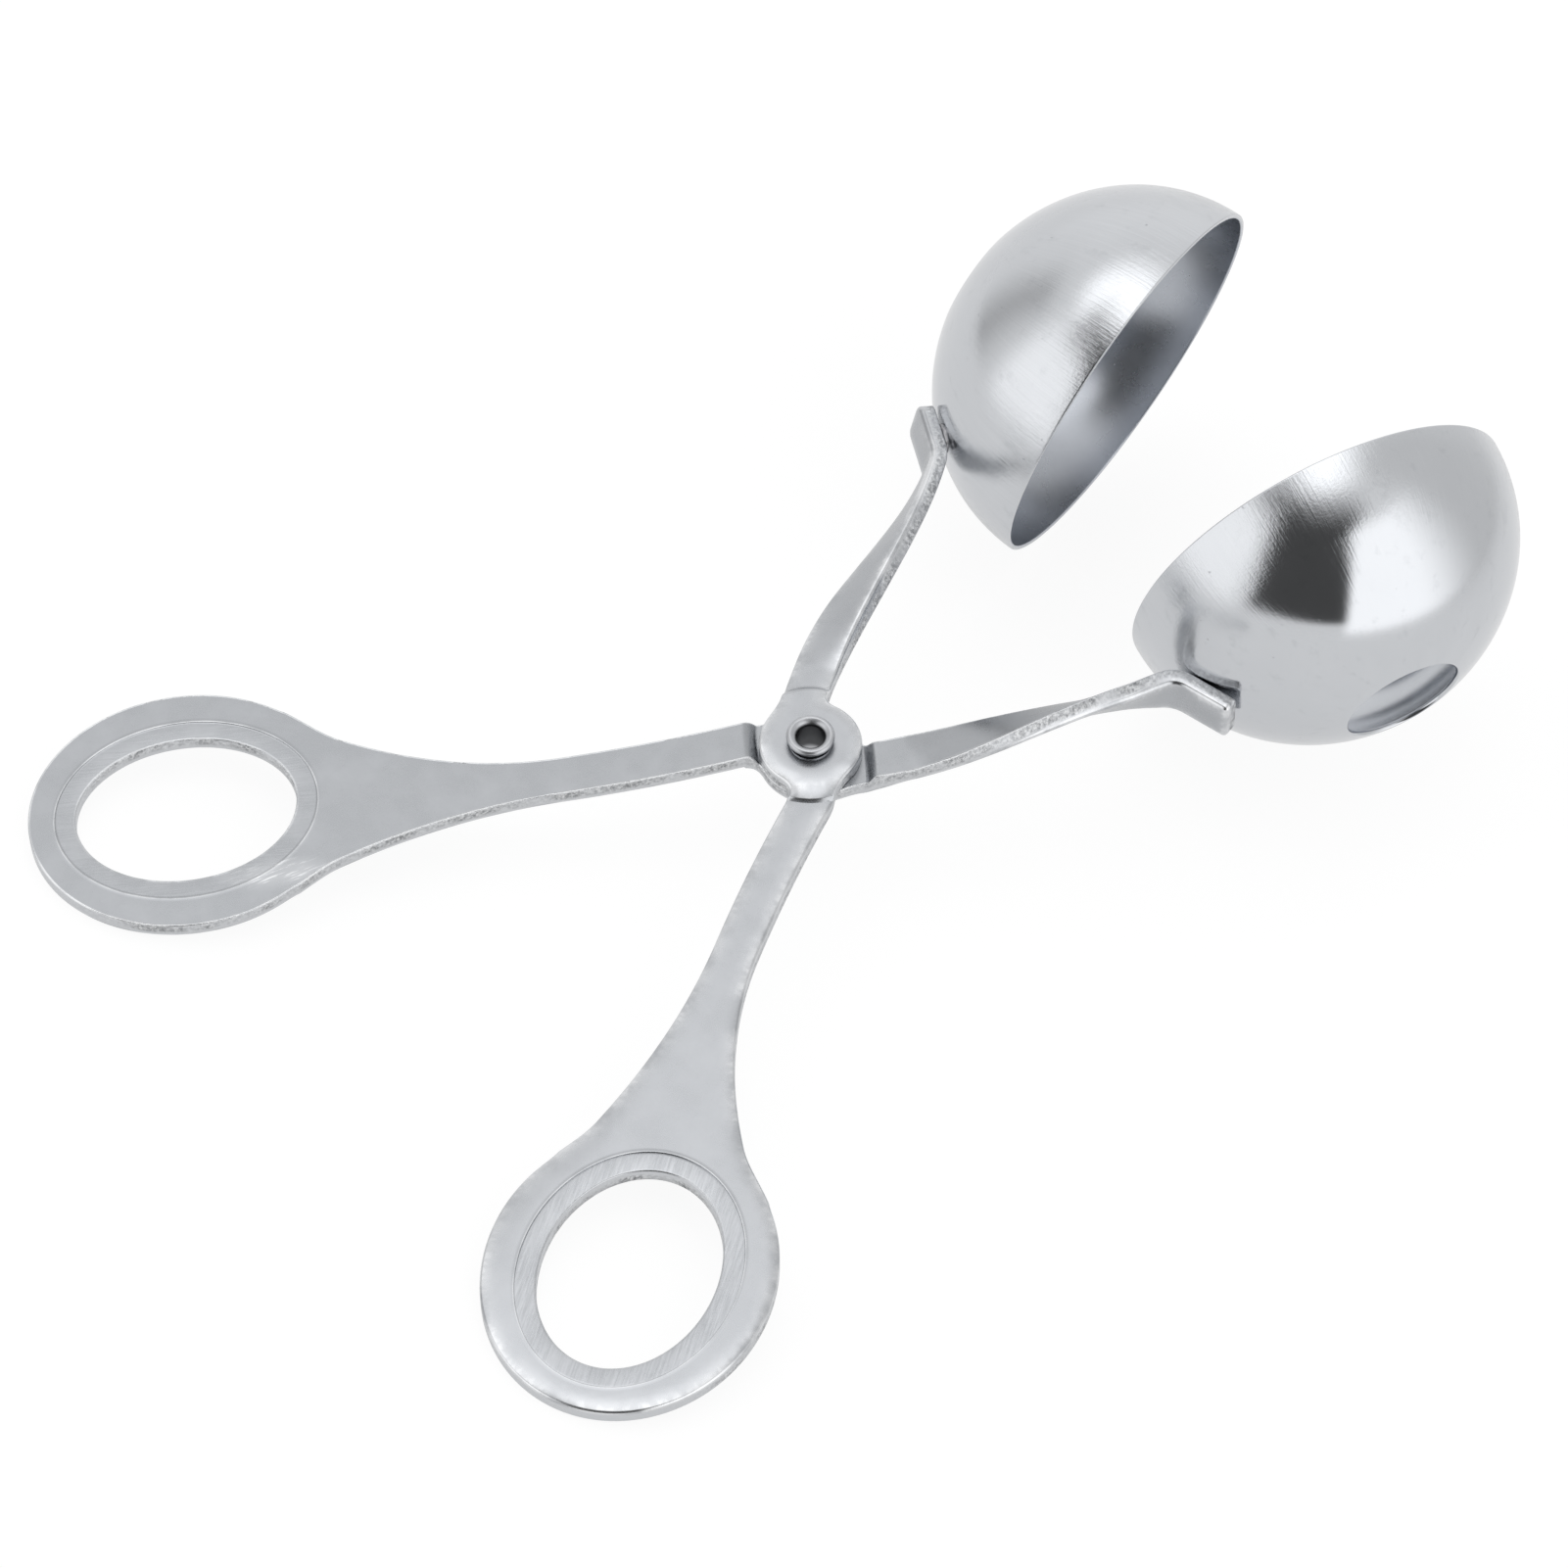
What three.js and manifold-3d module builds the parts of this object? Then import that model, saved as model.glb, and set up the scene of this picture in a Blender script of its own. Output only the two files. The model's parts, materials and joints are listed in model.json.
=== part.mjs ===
// Meatball tongs, lying open on a flat surface.
// Two identical stamped levers cross at a hollow rivet. Each lever has a ring for a thumb or finger
// at one end, and at the other a pressed half-ball cup with a vent in its crown, welded to a tab.
// Millimetres, +Z up, cups towards +X, rings towards -X.

import * as THREE from 'three';
import { mergeVertices } from 'three/addons/utils/BufferGeometryUtils.js';
import Module from 'manifold-3d';

// Sheet and fits
const stock = 2.0; // thickness of the lever sheet
const hubGap = 0.1; // between the two hubs, and between a hub and the rivet head on it
const pinGap = 0.2; // all round the rivet's shank in a hub
const weldGap = 0.5; // from a cup's wall to its tab, filled by the weld
const weldFit = 0.05; // from the weld to the tab on one side and the cup on the other
const rimGap = 0.3; // between the two rims when the tongs are shut

// Pose
const handleSplay = 19.35; // degrees from the middle line to a ring, tongs shut
const halfOpening = 14.3; // degrees that each lever stands open

// Ring handle
const pivotToRing = 70;
const fingerHoleLength = 24.9;
const fingerHoleWidth = 19.1;
const ringEndBand = 4.85; // metal beyond the hole at the ring's two ends
const ringSideBand = 5.75; // metal beside the hole
const landWidth = 2.3; // coined land around the hole, on both faces
const landDepth = 0.25;
const ringTurn = 4.9; // degrees that the oval is turned towards the middle line

// Strip between the ring and the cup
const stripWidth = 4.9;
const shoulderWidth = 19.6; // where the neck runs into the ring
const shoulderReach = 13.7; // from the ring's centre to the shoulder
const shoulderOverlap = 2; // the strip runs on into the ring by this much
const slimReach = 28; // from the pivot to where the neck starts to widen
const neckBow = 2.2; // sideways bow of the neck's middle line
const handleOffset = 1.9; // the neck meets the hub this far off centre
const armOffset = 2.5; // and the arm leaves it this far off centre
const hubReach = 7; // from the pivot to where neck and arm leave the hub
const armBow = 1.2; // sideways bow of the arm's middle line near the hub
const armTuck = 1.9; // and the other way near the tab
const twist = 78; // degrees that the arm is twisted before the tab
const twistEase = 0.25; // how much faster the twist starts than it ends
const twistReach = 9; // from the pivot to where the twist starts
const tabLength = 7.0;
const bendReach = 1.4; // from the corner to each end of the bend

// Hub and rivet
const hubDiameter = 11.6;
const joggleClear = 0.8; // from the hub's edge to the foot of the step
const joggleRun = 1.0; // length of the step
const rivetDiameter = 4.2;
const rivetBore = 3.0;
const rivetHead = 5.3;
const rivetHeadHeight = 0.9;
const rivetLip = 0.45; // radius of the outer edge of each head

// Cups
const pivotToCup = 64.5;
const cupDiameter = 47.2;
const cupDepth = 22.6;
const cupWall = 0.6;
const cupLean = 10.5; // degrees that the rims are turned about the middle line
const ventDiameter = 14;
const weldAngle = 34.5; // degrees from a cup's rim to its tab
const weldDiameter = 2.6;

// Facets
const roundSteps = 40;
const rivetSteps = 28;
const lipSteps = 3;
const weldSteps = 20;
const cupSteps = 12;
const neckSteps = 22;
const hubSteps = 20;
const armSteps = 26;
const bendSteps = 5;
const tabSteps = 2;
const mergeDistance = 1e-4;

const wasm = await Module();
wasm.setup();

const toRadians = THREE.MathUtils.degToRad;
const zAxis = new THREE.Vector3(0, 0, 1);
const hubLevel = (stock + hubGap) / 2;
const holeHalf = new THREE.Vector2(fingerHoleLength / 2, fingerHoleWidth / 2);
const ringHalf = new THREE.Vector2(holeHalf.x + ringEndBand, holeHalf.y + ringSideBand);
const leverAngle = toRadians(handleSplay + halfOpening);

// Only positions are left, and shared vertices are merged, so that the mesh is closed.
function closed(geometry) {
  geometry.deleteAttribute('normal');
  geometry.deleteAttribute('uv');
  return mergeVertices(geometry, mergeDistance);
}

function toSolid(geometry) {
  const merged = closed(geometry);
  return new wasm.Manifold(new wasm.Mesh({
    numProp: 3,
    vertProperties: new Float32Array(merged.attributes.position.array),
    triVerts: new Uint32Array(merged.index.array),
  }));
}

function toGeometry(solid) {
  const mesh = solid.getMesh();
  const geometry = new THREE.BufferGeometry();
  geometry.setAttribute('position', new THREE.BufferAttribute(mesh.vertProperties, 3));
  geometry.setIndex(new THREE.BufferAttribute(mesh.triVerts, 1));
  return geometry;
}

// A flat plate of the outline, from height low to height high.
function plate(outline, low, high) {
  const settings = { depth: high - low, bevelEnabled: false, curveSegments: roundSteps / 2 };
  return toSolid(new THREE.ExtrudeGeometry(outline, settings).translate(0, 0, low));
}

function ovalOutline(halfLength, halfWidth) {
  return new THREE.Shape().absellipse(
    -pivotToRing, 0, halfLength, halfWidth, 0, 2 * Math.PI, false, -toRadians(ringTurn));
}

function roundOutline(diameter) {
  return new THREE.Shape().absarc(0, 0, diameter / 2, 0, 2 * Math.PI, false);
}

// Where the tab lies against the cup, in the lever's own plane. The tab stands on the plane that touches
// the cup where its outside faces the rings, turned by the weld angle towards the crown. It leans by what
// the twist leaves short of upright, and its middle is in the plane of the lever.
function weldSeat() {
  const radius = cupDiameter / 2;
  const lean = toRadians(cupLean);
  const angle = toRadians(weldAngle);
  const upright = Math.sin(toRadians(twist));
  const crown = new THREE.Vector3(0, Math.cos(lean), Math.sin(lean));
  const outward = new THREE.Vector3(-Math.cos(angle), Math.sin(angle), 0);
  const normal = outward.clone().multiplyScalar(upright).addScaledVector(zAxis, Math.cos(toRadians(twist)));
  const share = normal.dot(crown);
  const reach = Math.hypot(radius * Math.sqrt(1 - share ** 2), cupDepth * share);
  const middle = new THREE.Vector3(pivotToCup, 0, 0);
  middle.addScaledVector(outward, (reach + weldGap + stock / 2) / upright);
  [middle, outward, normal].forEach((vector) => vector.applyAxisAngle(zAxis, -toRadians(handleSplay)));
  return { middle, outward, normal };
}

// Middle line of the strip, from inside the ring, across the hub and out to the end of the tab.
function stripLine(seat) {
  const ringEnd = new THREE.Vector2(-pivotToRing + shoulderReach - shoulderOverlap, 0);
  const neckEnd = new THREE.Vector2(-hubReach, -handleOffset);
  const armStart = new THREE.Vector2(hubReach, armOffset);
  const tabAlong = new THREE.Vector2(seat.outward.y, -seat.outward.x);
  const corner = new THREE.Vector2(seat.middle.x, seat.middle.y).addScaledVector(tabAlong, -tabLength / 2);
  const tabEnd = corner.clone().addScaledVector(tabAlong, tabLength);
  const aside = (from, to, share, offset) => from.clone().lerp(to, share).add(new THREE.Vector2(0, offset));
  const bowed = aside(armStart, corner, 1 / 3, armBow);
  const tucked = aside(armStart, corner, 2 / 3, -armTuck);
  const armEnd = corner.clone().addScaledVector(tucked.clone().sub(corner).normalize(), bendReach);
  const tabStart = corner.clone().addScaledVector(tabAlong, bendReach);
  const neckFirst = aside(ringEnd, neckEnd, 1 / 3, neckBow);
  const neckSecond = aside(ringEnd, neckEnd, 2 / 3, neckBow);
  const stretches = [
    [new THREE.CubicBezierCurve(ringEnd, neckFirst, neckSecond, neckEnd), neckSteps],
    [new THREE.LineCurve(neckEnd, armStart), hubSteps],
    [new THREE.CubicBezierCurve(armStart, bowed, tucked, armEnd), armSteps],
    [new THREE.QuadraticBezierCurve(armEnd, corner, tabStart), bendSteps],
    [new THREE.LineCurve(tabStart, tabEnd), tabSteps],
  ];
  const points = stretches.flatMap(([curve, steps]) => curve.getPoints(steps).slice(1));
  return { points: [ringEnd, ...points], twistEnd: corner.x };
}

// Half the strip's width: it flares with the square of the distance as the neck nears the ring.
function halfWidth(x) {
  const shoulder = pivotToRing - shoulderReach;
  const share = Math.max(0, (-x - slimReach) / (shoulder - slimReach));
  return stripWidth / 2 + (shoulderWidth - stripWidth) / 2 * share ** 2;
}

// The hub is joggled up so that neck and arm lie in one plane with those of the other lever.
function lift(x, y) {
  const foot = hubDiameter / 2 + joggleClear;
  return hubLevel * (1 - THREE.MathUtils.smoothstep(Math.hypot(x, y), foot, foot + joggleRun));
}

// A closed strip of the sheet carried along its middle line, six corners at each station.
function strip(seat) {
  const { points, twistEnd } = stripLine(seat);
  const across = [-1, 0, 1];
  const positions = [];
  points.forEach((point, i) => {
    const before = points[Math.max(i - 1, 0)];
    const after = points[Math.min(i + 1, points.length - 1)];
    const along = after.clone().sub(before).normalize();
    const share = THREE.MathUtils.clamp((point.x - twistReach) / (twistEnd - twistReach), 0, 1);
    const turn = toRadians(twist) * share * (1 + twistEase * (1 - share));
    const left = new THREE.Vector3(-along.y, along.x, 0);
    const side = left.clone().multiplyScalar(Math.cos(turn)).addScaledVector(zAxis, -Math.sin(turn));
    const up = left.multiplyScalar(Math.sin(turn)).addScaledVector(zAxis, Math.cos(turn));
    const corner = (edge, face) => {
      const place = new THREE.Vector3(point.x, point.y, 0);
      place.addScaledVector(side, edge * halfWidth(point.x));
      place.z += lift(place.x, place.y);
      return place.addScaledVector(up, face * stock / 2).toArray();
    };
    positions.push(...across.map((edge) => corner(edge, -1)));
    positions.push(...across.toReversed().map((edge) => corner(edge, 1)));
  });
  const corners = 2 * across.length;
  const index = [];
  for (let i = 0; i < points.length - 1; i++) {
    for (let k = 0; k < corners; k++) {
      const next = (k + 1) % corners;
      const [a, b] = [i * corners + k, i * corners + next];
      const [c, d] = [b + corners, a + corners];
      index.push(a, b, c, a, c, d);
    }
  }
  const last = (points.length - 1) * corners;
  for (let k = 1; k < corners - 1; k++) {
    index.push(0, k + 1, k);
    index.push(last, last + k, last + k + 1);
  }
  const geometry = new THREE.BufferGeometry();
  geometry.setAttribute('position', new THREE.Float32BufferAttribute(positions.flat(), 3));
  geometry.setIndex(index);
  return toSolid(geometry);
}

// One lever, its hub raised, ring towards -X and pivot at the origin.
function leverGeometry(seat) {
  const [low, high] = [-stock / 2, stock / 2];
  const hubLow = hubGap / 2;
  const hole = plate(ovalOutline(holeHalf.x, holeHalf.y), low - stock, high + stock);
  const landOutline = ovalOutline(holeHalf.x + landWidth, holeHalf.y + landWidth);
  const pinHole = roundOutline(rivetDiameter + 2 * pinGap);
  return toGeometry(plate(ovalOutline(ringHalf.x, ringHalf.y), low, high)
    .add(strip(seat))
    .add(plate(roundOutline(hubDiameter), hubLow, hubLow + stock))
    .subtract(hole)
    .subtract(plate(landOutline, high - landDepth, high + stock))
    .subtract(plate(landOutline, low - stock, low + landDepth))
    .subtract(plate(pinHole, low - stock, high + 2 * stock)));
}

// A thin half ball about +Y, its rim just above y = 0 and its crown pierced by the vent.
function cupGeometry() {
  const wall = (radius, depth) => {
    const rim = Math.acos(rimGap / 2 / depth);
    const vent = Math.asin(ventDiameter / 2 / radius);
    return Array.from({ length: cupSteps + 1 }, (_, i) => {
      const angle = THREE.MathUtils.lerp(rim, vent, i / cupSteps);
      return new THREE.Vector2(radius * Math.sin(angle), depth * Math.cos(angle));
    });
  };
  const outside = wall(cupDiameter / 2, cupDepth);
  const inside = wall(cupDiameter / 2 - cupWall, cupDepth - cupWall).reverse();
  return closed(new THREE.LatheGeometry([...outside, ...inside, outside[0]], roundSteps));
}

// A hollow rivet about Z: shank, bore and a head on each side of the two hubs. A head's outer edge is
// rounded, and its top runs into the bore as a round funnel.
function rivetGeometry() {
  const foot = hubGap / 2 + stock + hubGap;
  const top = foot + rivetHeadHeight;
  const funnel = (rivetHead - rivetBore) / 2 - rivetLip;
  const quarter = Array.from({ length: lipSteps + 1 }, (_, i) => Math.PI / 2 * i / lipSteps);
  const edge = (angle) => [
    rivetHead / 2 - rivetLip * (1 - Math.cos(angle)),
    top - rivetLip * (1 - Math.sin(angle)),
  ];
  const mouth = (angle) => [
    rivetBore / 2 + funnel * (1 - Math.sin(angle)),
    top - funnel * (1 - Math.cos(angle)),
  ];
  const head = [
    [rivetDiameter / 2, foot],
    [rivetHead / 2, foot],
    ...quarter.map(edge),
    ...quarter.slice(1).map(mouth),
  ];
  const upper = head.map(([radius, height]) => new THREE.Vector2(radius, height));
  const lower = head.toReversed().map(([radius, height]) => new THREE.Vector2(radius, -height));
  const profile = [...lower, ...upper, lower[0]];
  return closed(new THREE.LatheGeometry(profile, rivetSteps)).rotateX(Math.PI / 2);
}

const steel = (color, roughness) => new THREE.MeshStandardMaterial({ color, roughness, metalness: 1 });

function piece(name, geometry, material) {
  const mesh = new THREE.Mesh(geometry, material);
  mesh.name = name;
  return mesh;
}

function weldGeometry() {
  const radius = weldDiameter / 2;
  return closed(new THREE.CylinderGeometry(radius, radius, weldGap - 2 * weldFit, weldSteps));
}

const seat = weldSeat();
const leverShape = leverGeometry(seat);
const cupShape = cupGeometry();
const weldShape = weldGeometry();

// A lever with its cup and weld, hub raised, turned to its open place about the pivot.
function half(side) {
  const group = new THREE.Group();
  group.rotation.z = leverAngle;
  group.add(piece(`${side}_lever`, leverShape, steel(0xb9bcc0, 0.38)));
  const cupPlace = new THREE.Group();
  cupPlace.rotation.z = -toRadians(handleSplay);
  const cup = piece(`${side}_cup`, cupShape, steel(0xc4c7ca, 0.26));
  cup.position.x = pivotToCup;
  cup.rotation.x = toRadians(cupLean);
  cupPlace.add(cup);
  group.add(cupPlace);
  const weld = piece(`${side}_weld`, weldShape, steel(0x8d9094, 0.5));
  const tabAlong = zAxis.clone().cross(seat.outward);
  const tabUp = seat.normal.clone().cross(tabAlong);
  weld.position.copy(seat.middle).addScaledVector(seat.normal, -(stock + weldGap) / 2);
  weld.position.addScaledVector(tabUp, (stripWidth - weldDiameter) / 2);
  weld.quaternion.setFromUnitVectors(new THREE.Vector3(0, 1, 0), seat.normal);
  group.add(weld);
  return group;
}

// The second lever is the first one turned over about the middle line.
const leverPlane = new THREE.Group();
const under = new THREE.Group();
under.rotation.x = Math.PI;
under.add(half('lower'));
leverPlane.add(half('upper'), under, piece('pivot_rivet', rivetGeometry(), steel(0xc2c5c8, 0.3)));

// The tongs lie on their cups and the ends of their rings.
const ringAngle = leverAngle - toRadians(ringTurn);
const ringTip = pivotToRing * Math.cos(leverAngle)
  + Math.hypot(ringHalf.x * Math.cos(ringAngle), ringHalf.y * Math.sin(ringAngle));
const span = ringTip + pivotToCup * Math.cos(toRadians(halfOpening));
const lieAngle = Math.asin(cupDiameter / 2 / Math.hypot(span, stock / 2)) - Math.atan2(stock / 2, span);
leverPlane.rotation.y = -lieAngle;

// The origin is under the middle of the tongs, on the surface.
const tongs = new THREE.Group();
tongs.add(leverPlane);
tongs.updateMatrixWorld(true);
const box = new THREE.Box3().setFromObject(tongs, true);
leverPlane.position.set(-(box.min.x + box.max.x) / 2, 0, -box.min.z);

export default tongs;
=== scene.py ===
import json
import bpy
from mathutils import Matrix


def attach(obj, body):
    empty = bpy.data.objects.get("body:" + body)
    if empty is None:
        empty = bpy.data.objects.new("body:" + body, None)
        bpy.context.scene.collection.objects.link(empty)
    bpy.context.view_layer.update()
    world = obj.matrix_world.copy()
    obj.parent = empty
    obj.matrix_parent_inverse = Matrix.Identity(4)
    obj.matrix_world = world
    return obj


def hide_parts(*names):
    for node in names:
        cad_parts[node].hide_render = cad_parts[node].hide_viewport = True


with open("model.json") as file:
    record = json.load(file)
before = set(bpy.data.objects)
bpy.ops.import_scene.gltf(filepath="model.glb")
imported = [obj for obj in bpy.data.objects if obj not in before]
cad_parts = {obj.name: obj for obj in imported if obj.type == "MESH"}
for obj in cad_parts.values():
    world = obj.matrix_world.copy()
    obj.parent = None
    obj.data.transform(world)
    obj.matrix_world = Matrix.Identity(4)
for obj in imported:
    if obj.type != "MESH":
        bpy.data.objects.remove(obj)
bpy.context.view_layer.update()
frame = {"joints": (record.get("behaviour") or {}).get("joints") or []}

from types import SimpleNamespace

import bmesh
import bpy
import numpy as np
from mathutils import Matrix, Vector
from mathutils.geometry import delaunay_2d_cdt

# Levers. Each is one strip stamped from 2 mm stainless sheet: a finger ring with a coined land around
# the hole, a neck, a hub pressed up by a thickness, an arm twisted on edge and a tab bent against the
# cup. The die leaves one face with rolled edges and the other with sharp ones. Both are tumbled to satin.

# Both levers lie in the tongs' own plane. Sizes are millimetres in it, with the pivot at the origin, the
# cups towards +X and the rivet along Z.
mm = 0.001
pivot = frame["joints"][0]
pivot_place = np.array(pivot["pos_m"])
pivot_axis = np.array(pivot["axis"]) / np.linalg.norm(pivot["axis"])
sideways = np.array([0.0, 1.0, 0.0])
plane_axes = np.stack([np.cross(sideways, pivot_axis), sideways, pivot_axis])
upright = np.array([0.0, 0.0, 1.0])
splay = np.radians(19.35)
half_opening = np.radians(14.3)
lever_angle = splay + half_opening


def in_part(points):
    """From millimetres in the tongs' plane to metres in the part: along the plane's axes from the pivot."""
    return pivot_place + mm * points @ plane_axes


def turned(points, angle):
    """Points turned about the pivot's axis by an angle in radians."""
    c, s = np.cos(angle), np.sin(angle)
    return points @ np.array([[c, s, 0], [-s, c, 0], [0, 0, 1]])


def on_side(points, side):
    """Points of the upper half as they are, or for the lower half given half a turn about the middle line."""
    return points * np.array([1.0, -1.0, -1.0]) if side == "lower" else points


# The sheet, and the hub that the strip runs out from on both sides.
stock = 2.0
face = stock / 2
strip_half = 4.9 / 2
hub_radius = 11.6 / 2
hub_reach = 7.0
hub_gap = 0.1
hub_level = (stock + hub_gap) / 2
pin_hole_radius = 4.6 / 2
tiny = 1e-9

# The tab is bent to lie against the cup, so the cup's place and size are needed here.
cup_place = np.array([64.5, 0.0, 0.0])
cup_radius = 47.2 / 2
cup_depth = 22.6
cup_lean = np.radians(10.5)
weld_gap = 0.08


def tab_seat(weld_angle, tab_twist):
    """Middle, outward direction and normal of the tab: the plane that touches the cup's ellipsoid on the
    side facing the rings, moved out by the weld's gap and half the sheet."""
    crown = np.array([0, np.cos(cup_lean), np.sin(cup_lean)])
    outward = np.array([-np.cos(weld_angle), np.sin(weld_angle), 0])
    normal = outward * np.sin(tab_twist) + upright * np.cos(tab_twist)
    share = normal @ crown
    reach = np.hypot(cup_radius * np.sqrt(1 - share**2), cup_depth * share)
    middle = cup_place + outward * (reach + weld_gap + face) / np.sin(tab_twist)
    return [turned(vector, -splay) for vector in (middle, outward, normal)]


def smooth_curve(*controls, steps=160):
    """Points of a curve from the first control to the last, drawn towards the others: neighbours are blended
    in pairs by the same share until one is left."""
    share = np.linspace(0, 1, steps)[:, None]
    points = [np.broadcast_to(control, (steps, 2)) for control in controls]
    while len(points) > 1:
        points = [a + (b - a) * share for a, b in zip(points, points[1:])]
    return points[0]


def eased(value, low, high):
    """0 below low, 1 above high and a smooth S between them."""
    share = np.clip((value - low) / (high - low), 0, 1)
    return share**2 * (3 - 2 * share)


arm_start = np.array([hub_reach, 2.5])
arm_bow = 1.9
arm_tuck = 1.4
twist = np.radians(78)
twist_ease = 0.25
twist_start = 11.0
tab_turn_span = (0.8, 1)
sag_span = (0.25, 0.9)


def arm_path(weld_angle, tab_twist, tab_before, tab_after, bend_reach, sag, corner, top_step_end):
    """The arm's middle line, from the hub in a bow to the bend, and on along the tab past the place where it
    touches the cup. With each point come its way along the line, its heading, the sheet's twist and how far
    the line has sagged out of the plane."""
    tab_twist = np.radians(tab_twist)
    seat, outward, normal = tab_seat(np.radians(weld_angle), tab_twist)
    tab_along = np.cross(upright, -outward)[:2]
    bend = seat[:2] - tab_along * tab_before
    third = (bend - arm_start) / 3
    bowed = arm_start + third + [0, arm_bow]
    tucked = arm_start + 2 * third - [0, arm_tuck]
    bend_start = bend + (tucked - bend) * bend_reach / np.linalg.norm(tucked - bend)
    bend_end = bend + tab_along * bend_reach
    line = np.concatenate([
        smooth_curve(arm_start, bowed, tucked, bend_start),
        smooth_curve(bend_start, bend, bend_end)[1:],
        smooth_curve(bend_end, seat[:2] + tab_along * tab_after)[1:],
    ])
    reach = np.append(0, np.cumsum(np.linalg.norm(np.diff(line, axis=0), axis=1)))
    slope = np.gradient(line, reach, axis=0)
    heading = np.unwrap(np.arctan2(slope[:, 1], slope[:, 0]))
    share = np.clip((line[:, 0] - twist_start) / (bend[0] - twist_start), 0, 1)
    turn = twist * share * (1 + twist_ease * (1 - share)) + (tab_twist - twist) * eased(share, *tab_turn_span)
    ahead = np.array([np.cos(heading[0]), np.sin(heading[0])])
    return SimpleNamespace(
        line=line,
        reach=reach,
        heading=heading,
        turn=turn,
        sunk=sag * eased(reach / reach[-1], *sag_span),
        ahead=ahead,
        left=np.array([-ahead[1], ahead[0]]),
        length=reach[-1],
        corner=corner,
        top_step_end=top_step_end,
        seat=seat + sag * upright,
        tab_along=np.append(tab_along, 0),
        tab_normal=normal,
    )


# The two levers differ a little at the tab.
arms = {
    "upper": arm_path(weld_angle=41.5, tab_twist=78, tab_before=6.3, tab_after=1.1, bend_reach=1.1,
                      sag=0.0, corner=1.2, top_step_end=8.4),
    "lower": arm_path(weld_angle=28.0, tab_twist=89, tab_before=2.6, tab_after=4.8, bend_reach=1.6,
                      sag=2.2, corner=0.6, top_step_end=12.0),
}

# The flat blank's outline.
ring_place = np.array([-70.0, 0.0])
ring_half = np.array([17.62, 15.58])
ring_turn = np.radians(4.9)
hole_half = np.array([12.33, 9.45])
shoulder_half = 19.6 / 2
shoulder_x = ring_place[0] + 13.7
slim_x = -28.0
flare_limit = 1.07
neck_start = shoulder_x - 2.0
neck_bow = 2.2
neck_return = 0.0625
neck_offset = 1.9
arm_flare = 0.6
arm_flare_span = (1, 16)
shoulder_blend = 1.8
neck_blend = 1.6
arm_blend = 1.4


def joined(first, second, blend):
    """Distance to two shapes together, with the corner between them filled over the width blend."""
    share = np.clip(0.5 + 0.5 * (second - first) / blend, 0, 1)
    return second + (first - second) * share - blend * share * (1 - share)


def in_ring(xy):
    """Places on the blank seen from the ring's middle, along the oval's long and short axes."""
    c, s = np.cos(ring_turn), np.sin(ring_turn)
    return (xy - ring_place) @ np.array([[c, s], [-s, c]])


def oval_distance(xy, half):
    """Distance to an oval about the ring's middle: the scaled radius less 1, over its slope."""
    scaled = np.linalg.norm(xy / half, axis=-1)
    slope = np.linalg.norm(xy / half**2, axis=-1) / np.maximum(scaled, tiny)
    return (scaled - 1) / np.maximum(slope, tiny)


def neck_distance(xy):
    """Distance to the neck: a bowed band that flares with the square of the way from its slim part to the
    shoulder, and runs on to the ring's and the hub's middle."""
    x, y = xy[..., 0], xy[..., 1]
    share = np.maximum((x - neck_start) / (-hub_reach - neck_start), 0)
    middle = 3 * neck_bow * share * (1 - share) - neck_offset * share
    middle = middle + neck_return * np.maximum(x + hub_reach, 0) ** 2
    flare = np.clip((x - slim_x) / (shoulder_x - slim_x), 0, flare_limit)
    half = strip_half + (shoulder_half - strip_half) * flare**2
    lean = 2 * (shoulder_half - strip_half) * flare * (flare < flare_limit) / (slim_x - shoulder_x)
    side = (np.abs(y - middle) - half) / np.hypot(1, lean)
    return np.maximum(side, np.maximum(ring_place[0] - x, x))


def arm_distance(xy, arm):
    """Distance to the arm laid straight, from inside the hub to the tab's end with its rounded corners. It
    widens on one side."""
    along = (xy - arm_start) @ arm.ahead
    flare = arm_flare / 2 * eased(along, *arm_flare_span)
    aside = np.abs((xy - arm_start) @ arm.left - flare)
    middle = (arm.length - hub_reach) / 2
    past = np.abs(along - middle) - (arm.length + hub_reach) / 2 + arm.corner
    beside = aside - strip_half - flare + arm.corner
    outside = np.hypot(np.maximum(past, 0), np.maximum(beside, 0))
    return outside + np.minimum(np.maximum(past, beside), 0) - arm.corner


def blank_distance(xy, arm):
    """Distance to the outline of the flat blank, negative inside: ring, neck, hub and arm joined smoothly."""
    handle = joined(oval_distance(in_ring(xy), ring_half), neck_distance(xy), shoulder_blend)
    hub = np.linalg.norm(xy, axis=-1) - hub_radius
    return joined(joined(handle, hub, neck_blend), arm_distance(xy, arm), arm_blend)


def pulled(xy, arm, depth, rounds=6):
    """Points moved square to the outline until they lie at that depth inside it."""
    nudge = 1e-4
    least_slope = 0.3
    for _ in range(rounds):
        slope = np.stack([
            blank_distance(xy + [nudge, 0], arm) - blank_distance(xy - [nudge, 0], arm),
            blank_distance(xy + [0, nudge], arm) - blank_distance(xy - [0, nudge], arm),
        ], axis=-1) / (2 * nudge)
        step = (blank_distance(xy, arm) + depth) / np.maximum((slope**2).sum(-1), least_slope)
        xy = xy - step[:, None] * slope
    return xy


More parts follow.
